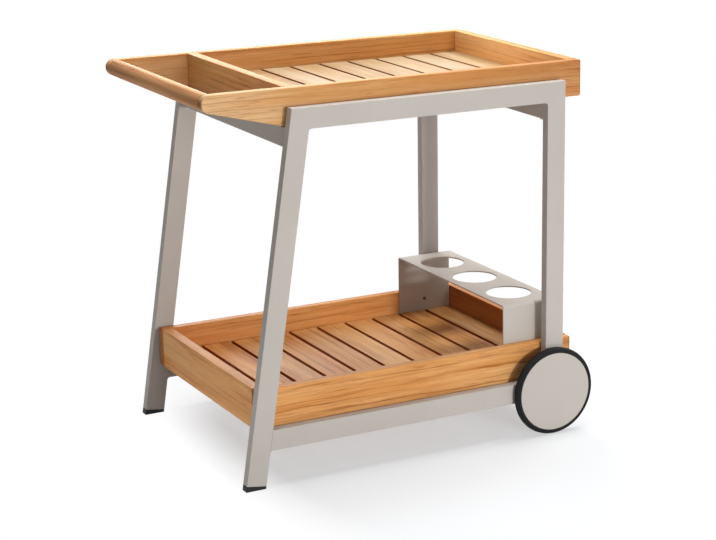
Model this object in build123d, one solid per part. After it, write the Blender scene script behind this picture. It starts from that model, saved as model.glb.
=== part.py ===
from build123d import *
from math import atan2, asin, cos, hypot, radians, sin, sqrt, tan
import os

# Serving cart: two aluminium side frames, two slatted teak trays, a bottle rack and two wheels.
# X runs along the cart from the handle to the wheels, Y across it, Z up from the floor.
# The origin is on the floor, under the middle of the whole cart. Sizes are in millimetres.

# Frame tube
tube_face = 46.0
tube_depth = 22.0
tube_wall = 2.0
tube_corner = 1.2
weld_radius = 7.0
weld_setback = 1.0

# Main sizes: places along the cart are measured from the handle's tip, heights from the floor
frame_width = 606.0
tray_top = 860.0
top_tray_end = 920.0
divider_start = 190.5
tyre_radius = 103.0

# Side frames
frame_drop = 39.0
frame_lead = 1.7
upright_setback = 104.0
leg_lean = 8.9
axle_rise = 19.5
axle_lead = 9.5
foot_low_edge = 6.0
foot_plug_depth = 28.0
foot_plug_fit = 0.2

# Cross rails under the top tray and bearers under the lower tray
cross_rail_height = 43.0
cross_rail_inset = 1.0
bearer_height = 22.0
bearer_setback = 130.0

# Both trays
tray_gap = 6.5
side_board = 20.5
end_board = 24.0
edge_ease = 1.6
corner_ease = 4.0
slat_thickness = 14.0
slat_gap = 9.0
slat_ease = 1.0
slat_end_clearance = 0.5
ledger_width = 22.0
centre_batten_width = 40.0

# Top tray
top_board_height = 82.0
handle_diameter = 38.0
handle_tenon_diameter = 18.0
handle_tenon_length = 12.0
taper_blend = 30.0
top_slat_drop = 51.0
top_slat_count = 9

# Lower tray
lower_tray_lead = 89.0
lower_tray_setback = 20.5
lower_tray_sink = 8.0
lower_board_height = 92.0
lower_slat_drop = 54.5
lower_slat_count = 10

# Bottle rack
rack_width = 143.5
rack_height = 145.5
rack_sheet = 3.0
rack_bend = 3.0
rack_side_clearance = 0.5
rack_back_clearance = 0.5
bottle_hole = 107.0
bottle_margin = 43.0
rack_screw_height = 30.0

# Wheels, with depths measured outwards from the side frame
tyre_thickness = 11.0
rim_wall = 8.0
hub_radius = 18.0
web_thickness = 4.0
spacer_thickness = 2.0
tyre_inset = 0.5
running_gap = 0.3
hub_length = 12.0
axle_head_thickness = 3.5
cover_head_gap = 1.0
cover_thickness = 2.0
cover_lip = 0.5
cover_edge = 1.0
tyre_width = 17.5
tyre_shoulder = 8.0
tyre_line_inset = 4.5
tyre_line_width = 1.2
tyre_line_depth = 2.2

# Fasteners and fits
axle_diameter = 12.0
axle_head_diameter = 22.0
axle_clearance = 0.05
bush_wall = 2.0
bush_split = 1.0
nut_across_flats = 18.0
nut_thickness = 9.0
bolt_diameter = 6.0
bolt_head_diameter = 13.0
bolt_head_thickness = 4.0
bolt_bite = 25.0
screw_diameter = 4.0
screw_head_diameter = 8.0
screw_head_thickness = 2.5
screw_dome = 1.5
screw_socket = 4.0
screw_socket_depth = 1.6
screw_bite = 9.0
dowel_diameter = 8.0
dowel_length = 24.0
dowel_heights = (0.5, 0.8)
hole_clearance = 0.05

# Places worked out from the sizes above
frame_top = tray_top - frame_drop
frame_start = divider_start - frame_lead
upright_start = top_tray_end - upright_setback
lower_rail_bottom = tyre_radius - axle_rise
axle_from_tip = upright_start + tube_face / 2 - axle_lead
overall_length = axle_from_tip + tyre_radius
lower_tray_start = divider_start - lower_tray_lead
lower_tray_end = top_tray_end - lower_tray_setback
frame_half = frame_width / 2
frame_inner = frame_half - tube_depth
tray_half = frame_inner - tray_gap
tray_inner = tray_half - side_board
lean = radians(leg_lean)
leg_run = tube_face / cos(lean)
lower_rail_top = lower_rail_bottom + tube_face
top_tray_bottom = tray_top - top_board_height
lower_tray_bottom = lower_rail_top - lower_tray_sink
lower_tray_top = lower_tray_bottom + lower_board_height
top_slat_top = tray_top - top_slat_drop
lower_slat_top = lower_tray_top - lower_slat_drop
hub_start = spacer_thickness + running_gap
head_start = hub_start + hub_length + running_gap
cover_start = head_start + axle_head_thickness + cover_head_gap
tyre_start = hub_start + tyre_inset
rim_radius = tyre_radius - tyre_thickness
cover_radius = rim_radius - cover_lip
bush_radius = axle_diameter / 2 + axle_clearance + bush_wall
SIDES = {"near": -1, "far": 1}


def along(distance):
    """X of a place this far from the handle's tip."""
    return distance - overall_length / 2


def leg_edge(z):
    """X of the slanted leg's handle-side edge at height z."""
    return along(frame_start) - (frame_top - z) * tan(lean)


def block(x0, x1, y0, y1, z0, z1):
    """A plain rectangular solid between two corners."""
    return Pos((x0 + x1) / 2, (y0 + y1) / 2, (z0 + z1) / 2) * Box(x1 - x0, y1 - y0, z1 - z0)


def plank(x0, x1, y0, y1, z0, z1, grain, ease):
    """A board whose edges along the grain axis are eased."""
    board = block(x0, x1, y0, y1, z0, z1)
    return fillet(board.edges().filter_by(grain), ease)


def post(x, y, z0, z1, diameter):
    """An upright round bar."""
    return Pos(x, y, (z0 + z1) / 2) * Cylinder(diameter / 2, z1 - z0)


def crossbar(x, z, y0, y1, diameter):
    """A round bar lying across the cart."""
    return Pos(x, (y0 + y1) / 2, z) * Rot(90, 0, 0) * Cylinder(diameter / 2, y1 - y0)


def lathe(points, rounded=(), radius=0.0):
    """A turned solid from (radius, depth) points, with the corners at some points rounded."""
    outline = Plane.XZ * make_face(Polyline(*points, close=True))
    if rounded:
        corners = [outline.vertices().sort_by_distance((r, 0, d))[0] for r, d in rounded]
        outline = fillet(corners, radius)
    return revolve(outline, Axis.Z)


def tube_stock(start, end, y, spare):
    """Hollow frame tube along a centre line given by (x, z) points, longer by spare at both ends."""
    run = Vector(end[0] - start[0], 0, end[1] - start[1])
    axis = run.normalized()
    origin = Vector(start[0], y, start[1]) - axis * spare
    section = Plane(origin, x_dir=(0, 1, 0), z_dir=axis)
    outside = RectangleRounded(tube_depth, tube_face, tube_corner)
    inside = Rectangle(tube_depth - 2 * tube_wall, tube_face - 2 * tube_wall)
    return extrude(section * (outside - inside), run.length + 2 * spare)


def cut_end(tube, point, toward):
    """Saws a tube at an (x, z) point, square to the direction that points at the waste."""
    saw = Plane((point[0], 0, point[1]), z_dir=(toward[0], 0, toward[1]))
    return split(tube, bisect_by=saw, keep=Keep.BOTTOM)


def weld(corner, first, second, y):
    """The rounded weld in an inner corner, between two unit directions that leave the corner."""
    across = abs(first[0] * second[1] - first[1] * second[0])
    half = atan2(across, first[0] * second[0] + first[1] * second[1]) / 2
    reach = weld_radius / tan(half)
    middle = Vector(first[0] + second[0], first[1] + second[1]).normalized()
    nearest = weld_radius / sin(half) - weld_radius
    tip = Vector(*corner)
    a = tip + Vector(*first) * reach
    b = tip + Vector(*second) * reach
    outline = make_face([Line(tip, a), ThreePointArc(a, tip + middle * nearest, b), Line(b, tip)])
    depth = tube_depth - 2 * weld_setback
    return Pos(0, y + depth / 2, 0) * extrude(Plane.XZ * outline, depth)


# Side frames
leg_down = (-sin(lean), -cos(lean))
top_left_outer = (along(frame_start), frame_top)
top_left_inner = (leg_edge(frame_top - tube_face) + leg_run, frame_top - tube_face)
upright_left = along(upright_start)
upright_right = upright_left + tube_face
top_right_outer = (upright_right, frame_top)
top_right_inner = (upright_left, frame_top - tube_face)
foot_low_corner = (leg_edge(foot_low_edge) + leg_run, foot_low_edge)
axle_x = along(axle_from_tip)
axle_z = tyre_radius


def square_to(a, b, sign):
    """A direction at right angles to the line from a to b, on the side that sign picks."""
    length = hypot(b[0] - a[0], b[1] - a[1])
    return (sign * (b[1] - a[1]) / length, -sign * (b[0] - a[0]) / length)


def slanted_leg(y):
    """Leaning leg, mitred to the top rail and cut square for its foot."""
    middle = (foot_low_corner[0] - leg_run / 2, foot_low_corner[1])
    top = (top_left_outer[0] + leg_run / 2, frame_top)
    leg = tube_stock(middle, top, y, tube_face)
    leg = cut_end(leg, top_left_outer, square_to(top_left_outer, top_left_inner, -1))
    return cut_end(leg, foot_low_corner, leg_down)


def top_rail(y):
    """Level rail with a mitre at both ends and a weld in each inner corner."""
    height = frame_top - tube_face / 2
    rail = tube_stock((top_left_outer[0], height), (top_right_outer[0], height), y, tube_face)
    rail = cut_end(rail, top_left_outer, square_to(top_left_outer, top_left_inner, 1))
    rail = cut_end(rail, top_right_outer, square_to(top_right_outer, top_right_inner, -1))
    return rail + weld(top_left_inner, (1, 0), leg_down, y) + weld(top_right_inner, (-1, 0), (0, -1), y)


def upright_leg(y):
    """Plumb leg, mitred to the top rail, closed at its foot and bored for the axle."""
    middle = upright_left + tube_face / 2
    leg = tube_stock((middle, lower_rail_bottom), (middle, frame_top), y, tube_face)
    leg = cut_end(leg, top_right_outer, square_to(top_right_outer, top_right_inner, 1))
    leg = cut_end(leg, (middle, lower_rail_bottom), (0, -1))
    plate = RectangleRounded(tube_face, tube_depth, tube_corner)
    leg += Pos(middle, y, lower_rail_bottom) * extrude(plate, tube_wall)
    bore = axle_diameter + 2 * axle_clearance
    return leg - crossbar(axle_x, axle_z, y - tube_depth, y + tube_depth, bore)


def lower_rail(y):
    """Level rail butted between the two legs, with a weld under its leaning end."""
    height = lower_rail_bottom + tube_face / 2
    start = leg_edge(height) + leg_run
    rail = tube_stock((start, height), (upright_left, height), y, tube_face)
    rail = cut_end(rail, (start, height), (-cos(lean), sin(lean)))
    rail = cut_end(rail, (upright_left, height), (1, 0))
    corner = (leg_edge(lower_rail_bottom) + leg_run, lower_rail_bottom)
    return rail + weld(corner, (1, 0), leg_down, y)


def foot(y):
    """Wedge foot under the square-cut leg, with a plug that fills the tube's end."""
    outside = RectangleRounded(tube_depth, tube_face, tube_corner)
    plug_room = tube_wall + foot_plug_fit
    plug = Rectangle(tube_depth - 2 * plug_room, tube_face - 2 * plug_room)
    low = Vector(foot_low_corner[0], y, foot_low_corner[1])
    centre = low + Vector(-cos(lean), 0, sin(lean)) * (tube_face / 2)
    seat = Plane(centre, x_dir=(0, 1, 0), z_dir=(leg_down[0], 0, leg_down[1]))
    wedge = extrude(seat * outside, tube_face)
    wedge = split(wedge, bisect_by=Plane.XY, keep=Keep.TOP)
    return wedge + extrude(seat * plug, -foot_plug_depth)


def cross_tube(x0, x1, z0, z1):
    """Hollow tube across the cart between the two side frames."""
    middle = Vector((x0 + x1) / 2, -frame_inner, (z0 + z1) / 2)
    section = Plane(middle, x_dir=(1, 0, 0), z_dir=(0, 1, 0))
    outside = RectangleRounded(x1 - x0, z1 - z0, tube_corner)
    inside = Rectangle(x1 - x0 - 2 * tube_wall, z1 - z0 - 2 * tube_wall)
    return extrude(section * (outside - inside), 2 * frame_inner)


# Trays
divider_x = along(divider_start)
top_well_start = divider_x + end_board
top_slats_start = top_well_start + slat_gap
top_slats_end = along(top_tray_end) - end_board
lower_slats_start = along(lower_tray_start) + end_board
lower_slats_end = along(lower_tray_end) - end_board
handle_x = along(handle_diameter / 2)
handle_z = tray_top - handle_diameter / 2
board_middle = tray_half - side_board / 2


def top_side_board(side):
    """Long board whose handle end tapers to a round nose as thick as the handle bar."""
    nose = handle_diameter / 2
    reach = hypot(divider_x - handle_x, handle_z - top_tray_bottom)
    heading = atan2(handle_z - top_tray_bottom, handle_x - divider_x) + asin(nose / reach)
    touch = sqrt(reach ** 2 - nose ** 2)
    tangent = (divider_x + touch * cos(heading), top_tray_bottom + touch * sin(heading))
    end = along(top_tray_end)
    outline = make_face([
        Line((handle_x, tray_top), (end, tray_top)),
        Line((end, tray_top), (end, top_tray_bottom)),
        Line((end, top_tray_bottom), (divider_x, top_tray_bottom)),
        Line((divider_x, top_tray_bottom), tangent),
        ThreePointArc(tangent, (handle_x - nose, handle_z), (handle_x, tray_top)),
    ])
    ends = outline.vertices().filter_by_position(Axis.X, end - edge_ease, end + edge_ease)
    outline = fillet(ends, corner_ease)
    knee = outline.vertices().sort_by_distance((divider_x, top_tray_bottom, 0))[0]
    outline = fillet(knee, taper_blend)
    outer = side * tray_half
    inner = side * tray_inner
    board = Pos(0, max(outer, inner), 0) * extrude(Plane.XZ * outline, side_board)
    board = fillet(board.faces().filter_by(Axis.Y).edges(), edge_ease)
    bore = handle_tenon_diameter + 2 * hole_clearance
    return board - crossbar(handle_x, handle_z, -tray_inner - handle_tenon_length,
                            tray_inner + handle_tenon_length, bore)


def lower_side_board(side):
    """Long board with eased edges and rounded end corners."""
    y0, y1 = sorted((side * tray_inner, side * tray_half))
    board = block(along(lower_tray_start), along(lower_tray_end), y0, y1, lower_tray_bottom, lower_tray_top)
    board = fillet(board.edges().filter_by(Axis.Y), corner_ease)
    return fillet(board.faces().filter_by(Axis.Y).edges(), edge_ease)


def board_across(x, z0, z1):
    """End board or divider between the two side boards."""
    return plank(x, x + end_board, -tray_inner, tray_inner, z0, z1, Axis.Y, edge_ease)


def handle_bar():
    """Round grip with a turned tenon at each end."""
    bar = crossbar(handle_x, handle_z, -tray_inner, tray_inner, handle_diameter)
    reach = tray_inner + handle_tenon_length
    return bar + crossbar(handle_x, handle_z, -reach, reach, handle_tenon_diameter)


def slat_places(start, end, count):
    """The first edge of each slat, and the width that fills the tray evenly."""
    width = (end - start - (count - 1) * slat_gap) / count
    return [start + i * (width + slat_gap) for i in range(count)], width


def slat(x, width, top):
    """One cross slat with eased long edges."""
    reach = tray_inner - slat_end_clearance
    return plank(x, x + width, -reach, reach, top - slat_thickness, top, Axis.Y, slat_ease)


def ledgers(start, end, bottom, slat_top):
    """Two strips along the side boards and a middle batten, all under the slats."""
    top = slat_top - slat_thickness
    strip = tray_inner - ledger_width
    half = centre_batten_width / 2
    return [block(start, end, y0, y1, bottom, top)
            for y0, y1 in ((-tray_inner, -strip), (-half, half), (strip, tray_inner))]


def board_dowels(x, z0, z1):
    """Dowel centres (x, z) spaced up the joint of one board."""
    return [(x + end_board / 2, z0 + share * (z1 - z0)) for share in dowel_heights]


def dowel(x, z, side, room=0.0):
    """One dowel across the joint between a side board and the board that butts it."""
    half = dowel_length / 2 + room
    middle = side * tray_inner
    return crossbar(x, z, middle - half, middle + half, dowel_diameter + 2 * room)


def slat_screw(x, y, bottom, tip, room=0.0):
    """Countersunk screw driven up through a ledger into a slat, or the hole for it."""
    neck = bottom + screw_head_thickness
    head = Pos(x, y, (bottom + neck) / 2) * Cone(
        screw_head_diameter / 2 + room, screw_diameter / 2 + room, screw_head_thickness)
    return head + post(x, y, neck, tip + room, screw_diameter + 2 * room)


def tray_bolt(x, y, seat, through):
    """Pan-head bolt from under a cross tube up into a side board."""
    head = post(x, y, seat - bolt_head_thickness, seat, bolt_head_diameter)
    return head + post(x, y, seat, through + bolt_bite, bolt_diameter)


def bolt_hole(x, y, seat, through):
    """Clearance for a tray bolt."""
    return post(x, y, seat, through + bolt_bite + hole_clearance, bolt_diameter + 2 * hole_clearance)


# Bottle rack
rack_end = lower_slats_end - rack_back_clearance
rack_start = rack_end - rack_width
rack_middle = rack_end - rack_width / 2
rack_half = tray_inner - rack_side_clearance
bottle_pitch = rack_half - bottle_margin - bottle_hole / 2
rack_top = lower_slat_top + rack_height
rack_screw_z = lower_slat_top + rack_screw_height


def bent_sheet(half, top, bend):
    """Face of an upside-down U in the YZ plane, with rounded top corners."""
    face = Pos(0, (lower_slat_top + top) / 2) * Rectangle(2 * half, top - lower_slat_top)
    return fillet(face.vertices().group_by(Axis.Y)[-1], bend)


def bottle_rack():
    """One bent aluminium sheet with three bottle holes and a screw hole in each leg."""
    outside = bent_sheet(rack_half, rack_top, rack_bend + rack_sheet)
    inside = bent_sheet(rack_half - rack_sheet, rack_top - rack_sheet, rack_bend)
    rack = Pos(rack_start, 0, 0) * extrude(Plane.YZ * (outside - inside), rack_width)
    for y in (-bottle_pitch, 0, bottle_pitch):
        rack -= post(rack_middle, y, rack_top - 2 * rack_sheet, rack_top + rack_sheet, bottle_hole)
    bore = screw_diameter + 2 * hole_clearance
    return rack - crossbar(rack_middle, rack_screw_z, -rack_half, rack_half, bore)


def rack_screw(side):
    """Round-head socket screw through a rack leg into the side board."""
    face = rack_half - rack_sheet
    y0, y1 = sorted((side * (face - screw_head_thickness), side * face))
    head = crossbar(rack_middle, rack_screw_z, y0, y1, screw_head_diameter)
    rim = head.edges().filter_by(GeomType.CIRCLE).sort_by(Axis.Y)
    head = fillet(rim[-1 if side < 0 else 0], screw_dome)
    front = Plane((rack_middle, side * (face - screw_head_thickness), rack_screw_z), z_dir=(0, side, 0))
    socket = RegularPolygon(screw_socket / 2, 6, major_radius=False)
    head -= extrude(front * socket, screw_socket_depth)
    y0, y1 = sorted((side * face, side * (tray_inner + screw_bite)))
    return head + crossbar(rack_middle, rack_screw_z, y0, y1, screw_diameter)


def rack_pilot(side):
    """Hole in a side board for the rack's screw."""
    y0, y1 = sorted((side * tray_inner, side * (tray_inner + screw_bite + hole_clearance)))
    return crossbar(rack_middle, rack_screw_z, y0, y1, screw_diameter + 2 * hole_clearance)


# Wheels, turned about local Z, which points outwards from the frame
def tyre():
    """Solid rubber ring with round shoulders and a moulded line round each side."""
    end = tyre_start + tyre_width
    corners = [(rim_radius, tyre_start), (tyre_radius, tyre_start), (tyre_radius, end), (rim_radius, end)]
    ring = lathe(corners, corners[1:3], tyre_shoulder)
    outer = tyre_radius - tyre_line_inset
    inner = outer - tyre_line_width
    for start, stop in ((tyre_start, tyre_start + tyre_line_depth), (end - tyre_line_depth, end)):
        ring -= lathe([(inner, start), (outer, start), (outer, stop), (inner, stop)])
    return ring


def wheel_core():
    """Hub, web and rim in one turned casting."""
    hub_end = hub_start + hub_length
    web_start = hub_start + (hub_length - web_thickness) / 2
    web_end = web_start + web_thickness
    rim_inner = rim_radius - rim_wall
    return lathe([
        (bush_radius, hub_start), (hub_radius, hub_start),
        (hub_radius, web_start), (rim_inner, web_start),
        (rim_inner, tyre_start), (rim_radius, tyre_start),
        (rim_radius, cover_start), (rim_inner, cover_start),
        (rim_inner, web_end), (hub_radius, web_end),
        (hub_radius, hub_end), (bush_radius, hub_end),
    ])


def wheel_cover():
    """Plain disc that closes the wheel's outer side and hides the axle's head."""
    end = cover_start + cover_thickness
    corners = [(0, cover_start), (cover_radius, cover_start), (cover_radius, end), (0, end)]
    return lathe(corners, corners[2:3], cover_edge)


def wheel_bushes():
    """Two plain bushes pressed into the hub from its two faces."""
    bore = axle_diameter / 2 + axle_clearance
    length = (hub_length - bush_split) / 2
    bushes = []
    for start in (hub_start, hub_start + hub_length - length):
        end = start + length
        bushes.append(lathe([(bore, start), (bush_radius, start), (bush_radius, end), (bore, end)]))
    return bushes


def axle_bolt():
    """Shoulder bolt: head under the cover, shank through hub, spacer, leg and nut."""
    shank = axle_diameter / 2
    head = axle_head_diameter / 2
    head_end = head_start + axle_head_thickness
    tip = -tube_depth - nut_thickness - tube_wall
    return lathe([
        (0, tip), (shank, tip), (shank, head_start),
        (head, head_start), (head, head_end), (0, head_end),
    ])


def axle_spacer():
    """Flat ring that keeps the hub off the painted leg."""
    bore = axle_diameter / 2 + axle_clearance
    return lathe([(bore, 0), (hub_radius, 0), (hub_radius, spacer_thickness), (bore, spacer_thickness)])


def axle_nut():
    """Hexagon nut on the inner face of the leg."""
    hexagon = RegularPolygon(nut_across_flats / 2, 6, major_radius=False)
    ring = hexagon - Circle(axle_diameter / 2 + axle_clearance)
    return Pos(0, 0, -tube_depth - nut_thickness) * extrude(ring, nut_thickness)


def at_axle(solid, side):
    """Turns a wheel piece outwards and puts it at the axle on one side."""
    return Location((axle_x, side * frame_half, axle_z), (-90 * side, 0, 0)) * solid


# Putting the pieces together
parts = {}

for name, side in SIDES.items():
    y = side * (frame_half - tube_depth / 2)
    parts[f"{name}_slanted_leg"] = slanted_leg(y)
    parts[f"{name}_top_rail"] = top_rail(y)
    parts[f"{name}_upright_leg"] = upright_leg(y)
    parts[f"{name}_lower_rail"] = lower_rail(y)
    parts[f"{name}_foot"] = foot(y)

# Cross tubes: each has a place along the cart, a top height and the tray that rests on it
rail_start = leg_edge(top_tray_bottom) + cross_rail_inset
handle_bearer = along(lower_tray_start + bearer_setback)
wheel_bearer = along(lower_tray_end - bearer_setback) - tube_face
cross_tubes = {
    "handle_end_cross_rail": (rail_start, rail_start + tube_depth, top_tray_bottom, cross_rail_height),
    "wheel_end_cross_rail": (upright_left, upright_left + tube_depth, top_tray_bottom, cross_rail_height),
    "handle_end_bearer": (handle_bearer, handle_bearer + tube_face, lower_tray_bottom, bearer_height),
    "wheel_end_bearer": (wheel_bearer, wheel_bearer + tube_face, lower_tray_bottom, bearer_height),
}
bolt_places = []
for name, (x0, x1, top, height) in cross_tubes.items():
    tube = cross_tube(x0, x1, top - height, top)
    for side in SIDES.values():
        place = ((x0 + x1) / 2, side * board_middle, top - height, top)
        bolt_places.append(place)
        tube -= bolt_hole(*place)
    parts[name] = tube
parts["tray_bolts"] = Compound([tray_bolt(*place) for place in bolt_places])

# Boards across the trays, with their dowels
boards_across = {
    "top_divider": (divider_x, top_tray_bottom, tray_top),
    "top_end_board": (top_slats_end, top_tray_bottom, tray_top),
    "lower_handle_end_board": (along(lower_tray_start), lower_tray_bottom, lower_tray_top),
    "lower_wheel_end_board": (lower_slats_end, lower_tray_bottom, lower_tray_top),
}
dowel_places = []
for name, place in boards_across.items():
    board = board_across(*place)
    for x, z in board_dowels(*place):
        for side in SIDES.values():
            dowel_places.append((x, z, side))
            board -= dowel(x, z, side, hole_clearance)
    parts[name] = board
parts["corner_dowels"] = Compound([dowel(*place) for place in dowel_places])

# Long boards, drilled for dowels, bolts and the rack's screws
for name, side in SIDES.items():
    top_board = top_side_board(side)
    lower_board = lower_side_board(side) - rack_pilot(side)
    drilled = [dowel(*place, hole_clearance) for place in dowel_places if place[2] == side]
    drilled += [bolt_hole(*place) for place in bolt_places if place[1] * side > 0]
    parts[f"top_{name}_side_board"] = top_board - drilled
    parts[f"lower_{name}_side_board"] = lower_board - drilled
parts["handle_bar"] = handle_bar()

# Slats on their ledgers, screwed from below
wells = {
    "top": (top_well_start, top_slats_end, top_tray_bottom, top_slat_top),
    "lower": (lower_slats_start, lower_slats_end, lower_tray_bottom, lower_slat_top),
}
slat_runs = {
    "top": slat_places(top_slats_start, top_slats_end, top_slat_count),
    "lower": slat_places(lower_slats_start, lower_slats_end, lower_slat_count),
}
screw_y = tray_inner - ledger_width / 2
slat_screws = []
for tray, (start, end, bottom, top) in wells.items():
    places, width = slat_runs[tray]
    strips = ledgers(start, end, bottom, top)
    tip = top - slat_thickness + screw_bite
    for number, x in enumerate(places, 1):
        piece = slat(x, width, top)
        for strip, y in enumerate((-screw_y, 0, screw_y)):
            hole = slat_screw(x + width / 2, y, bottom, tip, hole_clearance)
            slat_screws.append(slat_screw(x + width / 2, y, bottom, tip))
            piece -= hole
            strips[strip] -= hole
        parts[f"{tray}_slat_{number}"] = piece
    parts[f"{tray}_ledgers"] = Compound(strips)
parts["slat_screws"] = Compound(slat_screws)

parts["bottle_rack"] = bottle_rack()
parts["rack_screws"] = Compound([rack_screw(side) for side in SIDES.values()])

for name, side in SIDES.items():
    parts[f"{name}_tyre"] = at_axle(tyre(), side)
    parts[f"{name}_wheel_core"] = at_axle(wheel_core(), side)
    parts[f"{name}_wheel_cover"] = at_axle(wheel_cover(), side)
    parts[f"{name}_wheel_bushes"] = Compound([at_axle(bush, side) for bush in wheel_bushes()])
parts["axle_bolts"] = Compound([at_axle(axle_bolt(), side) for side in SIDES.values()])
parts["axle_spacers"] = Compound([at_axle(axle_spacer(), side) for side in SIDES.values()])
parts["axle_nuts"] = Compound([at_axle(axle_nut(), side) for side in SIDES.values()])

os.makedirs("parts", exist_ok=True)
for name, solid in parts.items():
    export_step(solid, f"parts/{name}.step")
print(len(parts), "nodes, overall length", overall_length)
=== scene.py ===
import math

import bmesh
import bpy
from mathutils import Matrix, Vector


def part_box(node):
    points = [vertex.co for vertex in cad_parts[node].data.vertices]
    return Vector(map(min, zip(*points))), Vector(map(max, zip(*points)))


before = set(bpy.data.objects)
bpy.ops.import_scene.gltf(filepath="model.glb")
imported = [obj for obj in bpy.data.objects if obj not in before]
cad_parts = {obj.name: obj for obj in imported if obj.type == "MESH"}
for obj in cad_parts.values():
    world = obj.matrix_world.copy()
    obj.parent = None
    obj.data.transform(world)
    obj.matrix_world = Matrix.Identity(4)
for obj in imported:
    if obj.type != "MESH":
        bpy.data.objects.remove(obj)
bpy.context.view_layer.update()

scene = bpy.context.scene
scene.view_settings.view_transform = "Standard"


# Side frames: rectangular aluminium tube, mitred and welded into two closed hoops, with the
# cross rails and bearers welded between them. The welds are ground flush, and all of it is
# powder-coated a matt warm grey.
def new_finish(name):
    """An empty material with its principled shader, and short ways to add and join nodes."""
    finish = bpy.data.materials.new(name)
    finish.use_nodes = True
    tree = finish.node_tree
    shader = tree.nodes["Principled BSDF"]

    def add(kind, **inputs):
        node = tree.nodes.new(kind)
        for socket, value in inputs.items():
            node.inputs[socket.replace("_", " ")].default_value = value
        return node

    return finish, shader, add, tree.links.new


def grains(add, join, coordinate, cells, detail=2.0, roughness=0.5):
    """Noise in object space, with its own number of cells per metre along each axis."""
    scaled = add("ShaderNodeMapping", Scale=cells)
    join(coordinate, scaled.inputs["Vector"])
    noise = add("ShaderNodeTexNoise", Scale=1.0, Detail=detail, Roughness=roughness)
    join(scaled.outputs["Vector"], noise.inputs["Vector"])
    return noise.outputs["Fac"]


def ramp(add, join, factor, stops):
    """Colour ramp through (position, colour) stops."""
    node = add("ShaderNodeValToRGB")
    points = node.color_ramp.elements
    while len(points) < len(stops):
        points.new(0.5)
    for point, (position, colour) in zip(points, stops):
        point.position = position
        point.color = (*colour, 1.0)
    join(factor, node.inputs["Fac"])
    return node.outputs["Color"]


def span(add, join, factor, low=0.0, high=1.0, start=0.0, end=1.0):
    """Maps a factor that runs from start to end to the range from low to high, clamped."""
    node = add("ShaderNodeMapRange", From_Min=start, From_Max=end, To_Min=low, To_Max=high)
    join(factor, node.inputs["Value"])
    return node.outputs["Result"]


def bumped(add, join, shader, height, strength, distance):
    """Turns a height into surface relief on the shader."""
    node = add("ShaderNodeBump", Strength=strength, Distance=distance)
    join(height, node.inputs["Height"])
    join(node.outputs["Normal"], shader.inputs["Normal"])


def powder_coat(name, pale, dark):
    """Matt powder coat: fine orange-peel relief, a faint cloudiness and slightly uneven gloss."""
    finish, shader, add, join = new_finish(name)
    place = add("ShaderNodeTexCoord").outputs["Object"]
    cloud = grains(add, join, place, cells=(7.0, 7.0, 7.0), detail=3.0)
    peel = grains(add, join, place, cells=(1400.0, 1400.0, 1400.0), detail=1.0)
    tint = ramp(add, join, cloud, [(0.30, dark), (0.70, pale)])
    join(tint, shader.inputs["Base Color"])
    join(span(add, join, peel, low=0.46, high=0.62), shader.inputs["Roughness"])
    bumped(add, join, shader, peel, strength=0.12, distance=0.0002)
    shader.inputs["Specular IOR Level"].default_value = 0.2
    return finish


def paint(nodes, finish):
    """Gives CAD nodes one finish in all their slots."""
    for name in nodes:
        for material_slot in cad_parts[name].material_slots:
            material_slot.material = finish


sides = ("near", "far")
frame_grey = powder_coat("frame_powder_coat", pale=(0.462, 0.424, 0.382), dark=(0.440, 0.402, 0.360))
hoop_tubes = ("slanted_leg", "upright_leg", "top_rail", "lower_rail")
cross_tubes = ("handle_end_cross_rail", "wheel_end_cross_rail", "handle_end_bearer", "wheel_end_bearer")
for side in sides:
    paint([f"{side}_{tube}" for tube in hoop_tubes], frame_grey)
paint(cross_tubes, frame_grey)


# Feet: black moulded wedges plugged into the square-cut ends of the slanted legs, so that the
# leaning tube stands flat. The plastic is satin, with a light moulded grain.
def moulded(name, colour, roughness, relief, shine):
    """Moulded plastic or rubber: fine spark-eroded grain, and a softly varied colour and gloss."""
    finish, shader, add, join = new_finish(name)
    place = add("ShaderNodeTexCoord").outputs["Object"]
    cloud = grains(add, join, place, cells=(14.0, 14.0, 14.0), detail=3.0)
    grit = grains(add, join, place, cells=(1900.0, 1900.0, 1900.0), detail=2.0)
    wear_gain = 1.35
    wear_lift = 0.003
    worn = tuple(min(1.0, c * wear_gain + wear_lift) for c in colour)
    join(ramp(add, join, cloud, [(0.35, colour), (0.75, worn)]), shader.inputs["Base Color"])
    join(span(add, join, cloud, *roughness), shader.inputs["Roughness"])
    bumped(add, join, shader, grit, strength=relief, distance=0.0002)
    shader.inputs["Specular IOR Level"].default_value = shine
    return finish


foot_black = moulded("foot_plastic", (0.009, 0.009, 0.010), roughness=(0.50, 0.65), relief=0.15, shine=0.2)
for side in sides:
    paint([f"{side}_foot"], foot_black)


# Top tray boards: solid teak, planed and oiled. The two side boards run past the divider and
# taper to round noses; divider and end board are dowelled between them.
def darkened(add, join, colour, shade, strength=None):
    """Multiplies a colour by a shade, all over or by a strength from 0 to 1."""
    layer = add("ShaderNodeMix", Factor=1.0)
    layer.data_type = "RGBA"
    layer.blend_type = "MULTIPLY"
    colour_a, colour_b, colour_result = 6, 7, 2
    if strength is not None:
        join(strength, layer.inputs["Factor"])
    join(colour, layer.inputs[colour_a])
    join(shade, layer.inputs[colour_b])
    return layer.outputs[colour_result]


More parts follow.
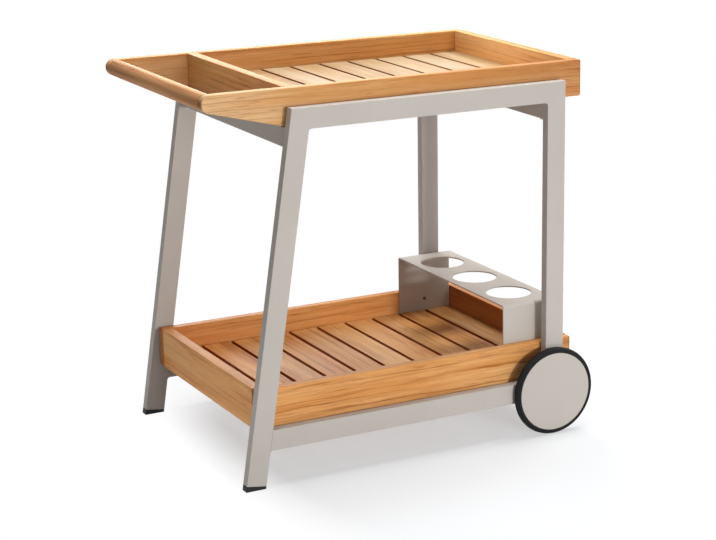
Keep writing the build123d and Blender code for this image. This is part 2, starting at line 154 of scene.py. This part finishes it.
def teak(node, grain, tone, shift, spacing, sweep, contrast, tilt=0.0, drift=None, gap_shade_depth=None):
    """Oiled teak from a log whose heart runs beside the board: rings, streaks, flecks and fine pores.

    grain is the axis the board runs along, shift its place in the log, spacing the ring width, sweep
    how far the rings wander and tilt the angle at which they run out through the face. contrast is how
    strongly these marks show. drift is the tone, against the rest, that the board fades to at its two
    ends. Near each end the board is darker, partly end grain that drinks more oil and partly painted
    shade at the joints. Where a gap depth is given, the sides of slats below it, down in the gaps, get
    painted shade in dark brown.
    """
    finish, shader, add, join = new_finish(f"teak_{node}")
    low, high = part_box(node)
    middle = [(a + b) / 2 for a, b in zip(low, high)]
    across = middle[1] if grain == "X" else -middle[0]
    turn = 0.0 if grain == "X" else -math.pi / 2
    here = add("ShaderNodeTexCoord").outputs["Object"]
    lay = add("ShaderNodeMapping", Location=(shift[0], -across + shift[1], -middle[2] + shift[2]),
              Rotation=(0.0, 0.0, turn))
    join(here, lay.inputs["Vector"])
    place = lay.outputs["Vector"]

    lengthwise = 0.10
    ring_width_at_scale_1 = 0.314
    along = add("ShaderNodeMapping", Scale=(lengthwise, 1.0, 1.0), Rotation=(0.0, tilt, tilt))
    join(place, along.inputs["Vector"])
    rings = add("ShaderNodeTexWave", Scale=ring_width_at_scale_1 / spacing, Distortion=sweep, Detail=3.0,
                Detail_Scale=0.7, Detail_Roughness=0.6)
    rings.wave_type = "RINGS"
    rings.rings_direction = "X"
    join(along.outputs["Vector"], rings.inputs["Vector"])
    ring = rings.outputs["Fac"]
    patch = grains(add, join, place, cells=(1.6, 24.0, 24.0), detail=3.0, roughness=0.6)
    fading = grains(add, join, place, cells=(3.5, 40.0, 40.0), detail=2.0)
    streak = grains(add, join, place, cells=(3.2, 130.0, 130.0), detail=4.0, roughness=0.72)
    fleck = grains(add, join, place, cells=(14.0, 230.0, 230.0), detail=2.0)
    pore = grains(add, join, place, cells=(18.0, 900.0, 900.0), detail=2.0, roughness=0.6)

    def stain(*shares):
        return tuple(1.0 - contrast * share for share in shares)

    pale = tuple(c * t for c, t in zip((0.780, 0.446, 0.188), tone))
    warm = tuple(c * t for c, t in zip((0.690, 0.318, 0.098), tone))
    plain = (1.0, 1.0, 1.0)
    ring_line = stain(1.3, 1.8, 2.2)
    ring_edge = stain(0.45, 0.60, 0.75)
    colour = ramp(add, join, patch, [(0.36, warm), (0.64, pale)])
    for mark, stops, faintest in (
        (ring, [(0.0, ring_line), (0.07, ring_edge), (0.22, plain)], 0.10),
        (streak, [(0.32, stain(0.80, 1.25, 1.50)), (0.62, plain)], 0.55),
        (fleck, [(0.29, stain(1.2, 1.7, 2.0)), (0.37, plain)], 0.20),
        (pore, [(0.27, (0.62, 0.52, 0.44)), (0.40, plain)], 0.70),
    ):
        strength = span(add, join, fading, low=faintest, start=0.38, end=0.62)
        colour = darkened(add, join, colour, ramp(add, join, mark, stops), strength)

    spot = add("ShaderNodeSeparateXYZ")
    join(here, spot.inputs["Vector"])
    axis = "XYZ".index(grain)
    reach = span(add, join, spot.outputs[grain], start=low[axis], end=high[axis])
    end_depth = 0.004
    end_band = end_depth / (high[axis] - low[axis])
    # Darker band at each end: partly end grain that takes more oil, partly painted shade where the board
    # meets the next part.
    end_oil_and_joint_shade = (0.58, 0.48, 0.40)
    first, last = drift or (plain, plain)
    stops = [(0.0, end_oil_and_joint_shade), (end_band, first), (0.5, plain), (1.0 - end_band, last), (1.0, end_oil_and_joint_shade)]
    colour = darkened(add, join, colour, ramp(add, join, reach, stops))
    # Painted shade: below this depth the sides of the slats, down in the gaps between them, turn dark
    # brown.
    if gap_shade_depth:
        gap_shade_brown = (0.62, 0.30, 0.12)
        eased_edge = 0.3 * gap_shade_depth
        gap_shade_rise = span(add, join, spot.outputs["Z"], start=high[2] - gap_shade_depth, end=high[2] - eased_edge)
        colour = darkened(add, join, colour, ramp(add, join, gap_shade_rise, [(0.0, gap_shade_brown), (1.0, plain)]))
    join(colour, shader.inputs["Base Color"])
    join(span(add, join, streak, low=0.60, high=0.46), shader.inputs["Roughness"])
    bumped(add, join, shader, pore, strength=0.20, distance=0.0004)
    shader.inputs["Specular IOR Level"].default_value = 0.10
    return finish


top_boards = {
    "top_near_side_board": dict(
        grain="X", tone=(0.85, 0.85, 0.85), shift=(0.0, 0.060, -0.055), spacing=0.010, sweep=5.0,
        contrast=0.18, drift=((1.13, 1.36, 1.75), (0.80, 0.68, 0.60))),
    "top_far_side_board": dict(
        grain="X", tone=(1.00, 0.96, 0.91), shift=(3.1, -0.050, 0.070), spacing=0.011, sweep=5.0,
        contrast=0.22, drift=((1.10, 1.18, 1.40), (1.04, 1.16, 1.28))),
    "top_divider": dict(
        grain="Y", tone=(0.84, 0.79, 0.70), shift=(1.7, 0.055, 0.060), spacing=0.010, sweep=4.0,
        contrast=0.20),
    "top_end_board": dict(
        grain="Y", tone=(0.95, 0.96, 0.96), shift=(5.2, -0.060, 0.050), spacing=0.010, sweep=4.0,
        contrast=0.18),
}
for node, cut in top_boards.items():
    paint([node], teak(node, **cut))


# Handle bar: a turned teak grip between the two noses, as thick as they are, with the grain
# along it. A tenon at each end is glued into the side boards.
handle_teak = teak(
    "handle_bar", grain="Y", tone=(0.98, 0.95, 0.91), shift=(2.4, 0.045, 0.030), spacing=0.009, sweep=3.0,
    contrast=0.24, drift=((0.82, 0.75, 0.68), (0.74, 0.65, 0.56)))
paint(["handle_bar"], handle_teak)


# Slats and ledgers: sawn teak strips across both trays with eased edges, each from another
# plank, so their colour differs a little. Painted shade darkens the two lower slats under the rack,
# and painted light lifts the fourth lower slat. Ledgers and battens under the slats take the screws.
slat_tones = (
    (1.00, 1.05, 1.12),
    (0.95, 0.96, 0.97),
    (1.02, 1.09, 1.18),
    (0.98, 1.00, 1.02),
    (0.93, 0.92, 0.91),
)
# Each tray's tint over the plank tones is painted light: the top slats' is paler and greyer, a painted
# sheen from the lamps above, and the lower slats' is lighter, painted light under the top tray.
slat_sets = (
    ("top", 9, (0.62, 0.81, 1.18), 0.11),
    ("lower", 10, (1.16, 1.12, 1.02), 0.24),
)
# Painted light and shade on single slats: the fourth lower slat is lightened, and the two under the rack
# are darkened as if shaded by it.
painted_light_and_shade = {"lower_slat_4": 1.12, "lower_slat_9": 0.85, "lower_slat_10": 0.65}
for tray, count, painted_light_tint, contrast in slat_sets:
    for number in range(1, count + 1):
        node = f"{tray}_slat_{number}"
        plank = slat_tones[(number * 2 + count) % len(slat_tones)]
        tone = tuple(a * b * painted_light_and_shade.get(node, 1.0) for a, b in zip(plank, painted_light_tint))
        shift = (0.37 * number, 0.02 * (number % 3 - 1), 0.045 + 0.01 * (number % 4))
        slat_teak = teak(
            node, grain="Y", tone=tone, shift=shift, spacing=0.009, sweep=2.5,
            contrast=contrast, gap_shade_depth=0.0010)
        paint([node], slat_teak)
for node in ("top_ledgers", "lower_ledgers"):
    ledger_teak = teak(
        node, grain="X", tone=(0.90, 0.86, 0.82), shift=(7.0, 0.05, 0.06), spacing=0.010, sweep=4.0,
        contrast=0.25)
    paint([node], ledger_teak)


# Lower tray boards: the same planed teak, flat-sawn with wider rings, butted and dowelled at the
# corners. The tray stands on the two bearers, and bolts through these hold it.
lower_boards = {
    "lower_near_side_board": dict(
        grain="X", tone=(0.96, 0.95, 0.92), shift=(8.3, 0.034, -0.012), spacing=0.011, sweep=9.0,
        contrast=0.32, tilt=0.006),
    # Its drift is painted light: darker at the handle end and lighter at the wheel end, where more light
    # reaches.
    "lower_far_side_board": dict(
        grain="X", tone=(1.00, 0.93, 0.84), shift=(9.9, -0.036, 0.010), spacing=0.012, sweep=9.0,
        contrast=0.24, tilt=-0.006, drift=((0.80, 0.67, 0.59), (1.15, 1.24, 1.30))),
    "lower_handle_end_board": dict(
        grain="Y", tone=(1.07, 1.03, 0.98), shift=(4.4, 0.060, -0.050), spacing=0.009, sweep=4.0,
        contrast=0.20),
    # Its low tone is painted shade from the rack over it.
    "lower_wheel_end_board": dict(
        grain="Y", tone=(0.70, 0.58, 0.50), shift=(6.6, -0.050, 0.050), spacing=0.010, sweep=4.0,
        contrast=0.20),
    "corner_dowels": dict(
        grain="Y", tone=(0.92, 0.90, 0.88), shift=(0.4, 0.030, 0.020), spacing=0.008, sweep=2.0,
        contrast=0.15),
}
for node, cut in lower_boards.items():
    paint([node], teak(node, **cut))


# Bottle rack: one aluminium sheet, cut with three round holes and bent to an upside-down U. It
# stands on the lower slats, coated like the frame, and is screwed to the side boards.
rack_grey = powder_coat("rack_powder_coat", pale=(0.490, 0.445, 0.399), dark=(0.466, 0.422, 0.375))
paint(["bottle_rack"], rack_grey)


# Wheels: a solid black rubber tyre on a moulded core that turns on nylon bushes. A plain disc
# in the frame's colour is pressed on to close the outer side.
tyre_black = moulded("tyre_rubber", (0.008, 0.008, 0.009), roughness=(0.60, 0.75), relief=0.30, shine=0.15)
core_black = moulded("wheel_core_plastic", (0.020, 0.020, 0.021),
                     roughness=(0.45, 0.58), relief=0.15, shine=0.3)
bush_white = moulded("bush_plastic", (0.50, 0.49, 0.45), roughness=(0.35, 0.50), relief=0.08, shine=0.5)
cover_grey = powder_coat("wheel_cover_coat", pale=(0.462, 0.424, 0.382), dark=(0.446, 0.408, 0.366))
for side in sides:
    paint([f"{side}_tyre"], tyre_black)
    paint([f"{side}_wheel_core"], core_black)
    paint([f"{side}_wheel_bushes"], bush_white)
    paint([f"{side}_wheel_cover"], cover_grey)


# Fasteners: plain stainless axle bolts with their spacers and nuts, tray bolts, slat screws and
# rack screws. They are turned, lightly brushed and left bare, and the rack's screws are a dark steel.
def turned_steel(name, dull, bright):
    """Stainless steel with fine tool marks and a few duller patches."""
    finish, shader, add, join = new_finish(name)
    place = add("ShaderNodeTexCoord").outputs["Object"]
    marks = grains(add, join, place, cells=(2600.0, 300.0, 2600.0), detail=2.0)
    patch = grains(add, join, place, cells=(60.0, 60.0, 60.0), detail=2.0)
    join(ramp(add, join, patch, [(0.35, dull), (0.7, bright)]), shader.inputs["Base Color"])
    join(span(add, join, marks, low=0.26, high=0.42), shader.inputs["Roughness"])
    bumped(add, join, shader, marks, strength=0.10, distance=0.0001)
    shader.inputs["Metallic"].default_value = 1.0
    return finish


steel = turned_steel("stainless_steel", dull=(0.50, 0.49, 0.47), bright=(0.62, 0.61, 0.59))
paint(["axle_bolts", "axle_spacers", "axle_nuts", "tray_bolts", "slat_screws"], steel)
# The rack's screws are given a dark steel colour.
dark_screw_steel = turned_steel("dark_rack_screw_steel", dull=(0.125, 0.100, 0.085), bright=(0.180, 0.150, 0.130))
paint(["rack_screws"], dark_screw_steel)


# Studio lamps: a small low key lamp and a large soft one in front, soft lamps above, over the wheel
# end and behind, and two faint narrow ones at the handle end, low and high.
def softbox(name, place, target, width, height, power, spread=180.0):
    """An oblong area lamp aimed at a point, its beam spread in degrees, unseen by the camera."""
    lamp = bpy.data.lights.new(name, "AREA")
    lamp.shape = "RECTANGLE"
    lamp.size = width
    lamp.size_y = height
    lamp.energy = power
    lamp.spread = math.radians(spread)
    box = bpy.data.objects.new(name, lamp)
    box.location = place
    box.rotation_euler = (Vector(target) - Vector(place)).to_track_quat("-Z", "Y").to_euler()
    box.visible_camera = False
    scene.collection.objects.link(box)


softbox("key_spot", (0.36, -3.7, 0.8), (0.0, 0.0, 0.35), 0.2, 0.2, power=52.0)
softbox("front_softbox", (0.5, -4.2, 1.1), (0.0, 0.0, 0.40), 2.4, 1.6, power=45.0)
softbox("top_softbox", (0.0, -0.05, 3.2), (0.0, 0.0, 0.4), 2.2, 2.2, power=64.0)
softbox("wheel_end_softbox", (1.5, 0.1, 3.0), (0.0, 0.0, 0.4), 1.2, 1.2, power=54.0)
softbox("back_softbox", (1.0, 3.0, 2.6), (0.0, 0.0, 0.4), 2.0, 2.0, power=52.0)
softbox("low_back_softbox", (0.4, 3.2, 1.2), (0.0, 0.0, 0.3), 2.2, 0.8, power=42.0)
softbox("low_left_softbox", (-2.2, -0.1, 0.12), (-0.4, -0.1, 0.10), 0.6, 0.15, power=0.2, spread=25.0)
softbox("high_left_softbox", (-2.4, -0.1, 1.9), (0.44, 0.0, 0.83), 0.3, 0.3, power=0.28, spread=12.0)


# Backdrop: plain white where the camera and reflections look past the floor, and a faint grey as
# light on the cart.
def combined(tree, operation, first, second):
    """One value worked out from two."""
    node = tree.nodes.new("ShaderNodeMath")
    node.operation = operation
    tree.links.new(first, node.inputs[0])
    tree.links.new(second, node.inputs[1])
    return node.outputs["Value"]


def seen_directly(tree):
    """1 for what the camera sees, straight or by way of gloss or glass, and 0 for other light."""
    rays = tree.nodes.new("ShaderNodeLightPath").outputs
    straight_or_gloss = combined(tree, "MAXIMUM", rays["Is Camera Ray"], rays["Is Glossy Ray"])
    return combined(tree, "MAXIMUM", straight_or_gloss, rays["Is Transmission Ray"])


def mixed(tree, factor, shader_at_0, shader_at_1):
    """Mixes two shaders by a factor from 0 to 1."""
    node = tree.nodes.new("ShaderNodeMixShader")
    tree.links.new(factor, node.inputs["Fac"])
    tree.links.new(shader_at_0, node.inputs[1])
    tree.links.new(shader_at_1, node.inputs[2])
    return node.outputs["Shader"]


world = bpy.data.worlds.new("studio")
scene.world = world
world.use_nodes = True
sky = world.node_tree
ambient = sky.nodes["Background"]
ambient.inputs["Color"].default_value = (0.05, 0.05, 0.051, 1.0)
white = sky.nodes.new("ShaderNodeBackground")
white.inputs["Color"].default_value = (1.0, 1.0, 1.0, 1.0)
backdrop = mixed(sky, seen_directly(sky), ambient.outputs["Background"], white.outputs["Background"])
sky.links.new(backdrop, sky.nodes["World Output"].inputs["Surface"])


# Floor: a round matt sheet, nearly white, that takes the cart's shadow. Its middle, an oval around
# the cart, shows half of the shading, and outside the oval it fades into the white backdrop.
ground = bpy.data.meshes.new("floor")
sheet = bmesh.new()
bmesh.ops.create_circle(sheet, cap_ends=True, segments=96, radius=4.0)
sheet.to_mesh(ground)
sheet.free()
floor = bpy.data.objects.new("floor", ground)
scene.collection.objects.link(floor)
floor_white, floor_shader, add, join = new_finish("floor_white")
floor_tree = floor_white.node_tree
floor_shader.inputs["Base Color"].default_value = (0.785, 0.81, 0.835, 1.0)
floor_shader.inputs["Roughness"].default_value = 0.9
floor_shader.inputs["Specular IOR Level"].default_value = 0.0
oval_middle = (0.20, -0.20)
oval_reach = (0.60, 1.20)
oval = add("ShaderNodeMapping", Location=(*(-m / r for m, r in zip(oval_middle, oval_reach)), 0.0),
           Scale=(*(1.0 / r for r in oval_reach), 1.0))
join(add("ShaderNodeTexCoord").outputs["Object"], oval.inputs["Vector"])
away = add("ShaderNodeVectorMath")
away.operation = "LENGTH"
join(oval.outputs["Vector"], away.inputs[0])
fade = span(add, join, away.outputs["Value"], low=0.50, start=0.83, end=1.03)
bleach = combined(floor_tree, "MULTIPLY", fade, seen_directly(floor_tree))
glow = add("ShaderNodeEmission")
floor_surface = mixed(floor_tree, bleach, floor_shader.outputs["BSDF"], glow.outputs["Emission"])
join(floor_surface, floor_tree.nodes["Material Output"].inputs["Surface"])
floor_white.cycles.emission_sampling = "NONE"
floor.data.materials.append(floor_white)


# Camera: at the photograph's viewpoint, as fitted to the cart's corners and edges. Focal length and
# sideways shift are measured in the photograph's pixels.
photo_width = 716.0
focal_pixels = 2000.47
aside_pixels = -122.0
dip = 15.1847
heading = -30.5274
lens = bpy.data.cameras.new("photo_camera")
lens.sensor_fit = "HORIZONTAL"
lens.sensor_width = 36.0
lens.lens = focal_pixels / photo_width * lens.sensor_width
lens.shift_x = aside_pixels / photo_width
camera = bpy.data.objects.new("photo_camera", lens)
camera.location = (-2.01052, -4.00732, 1.58160)
camera.rotation_euler = (math.radians(90.0 - dip), 0.0, math.radians(heading))
scene.collection.objects.link(camera)
scene.camera = camera
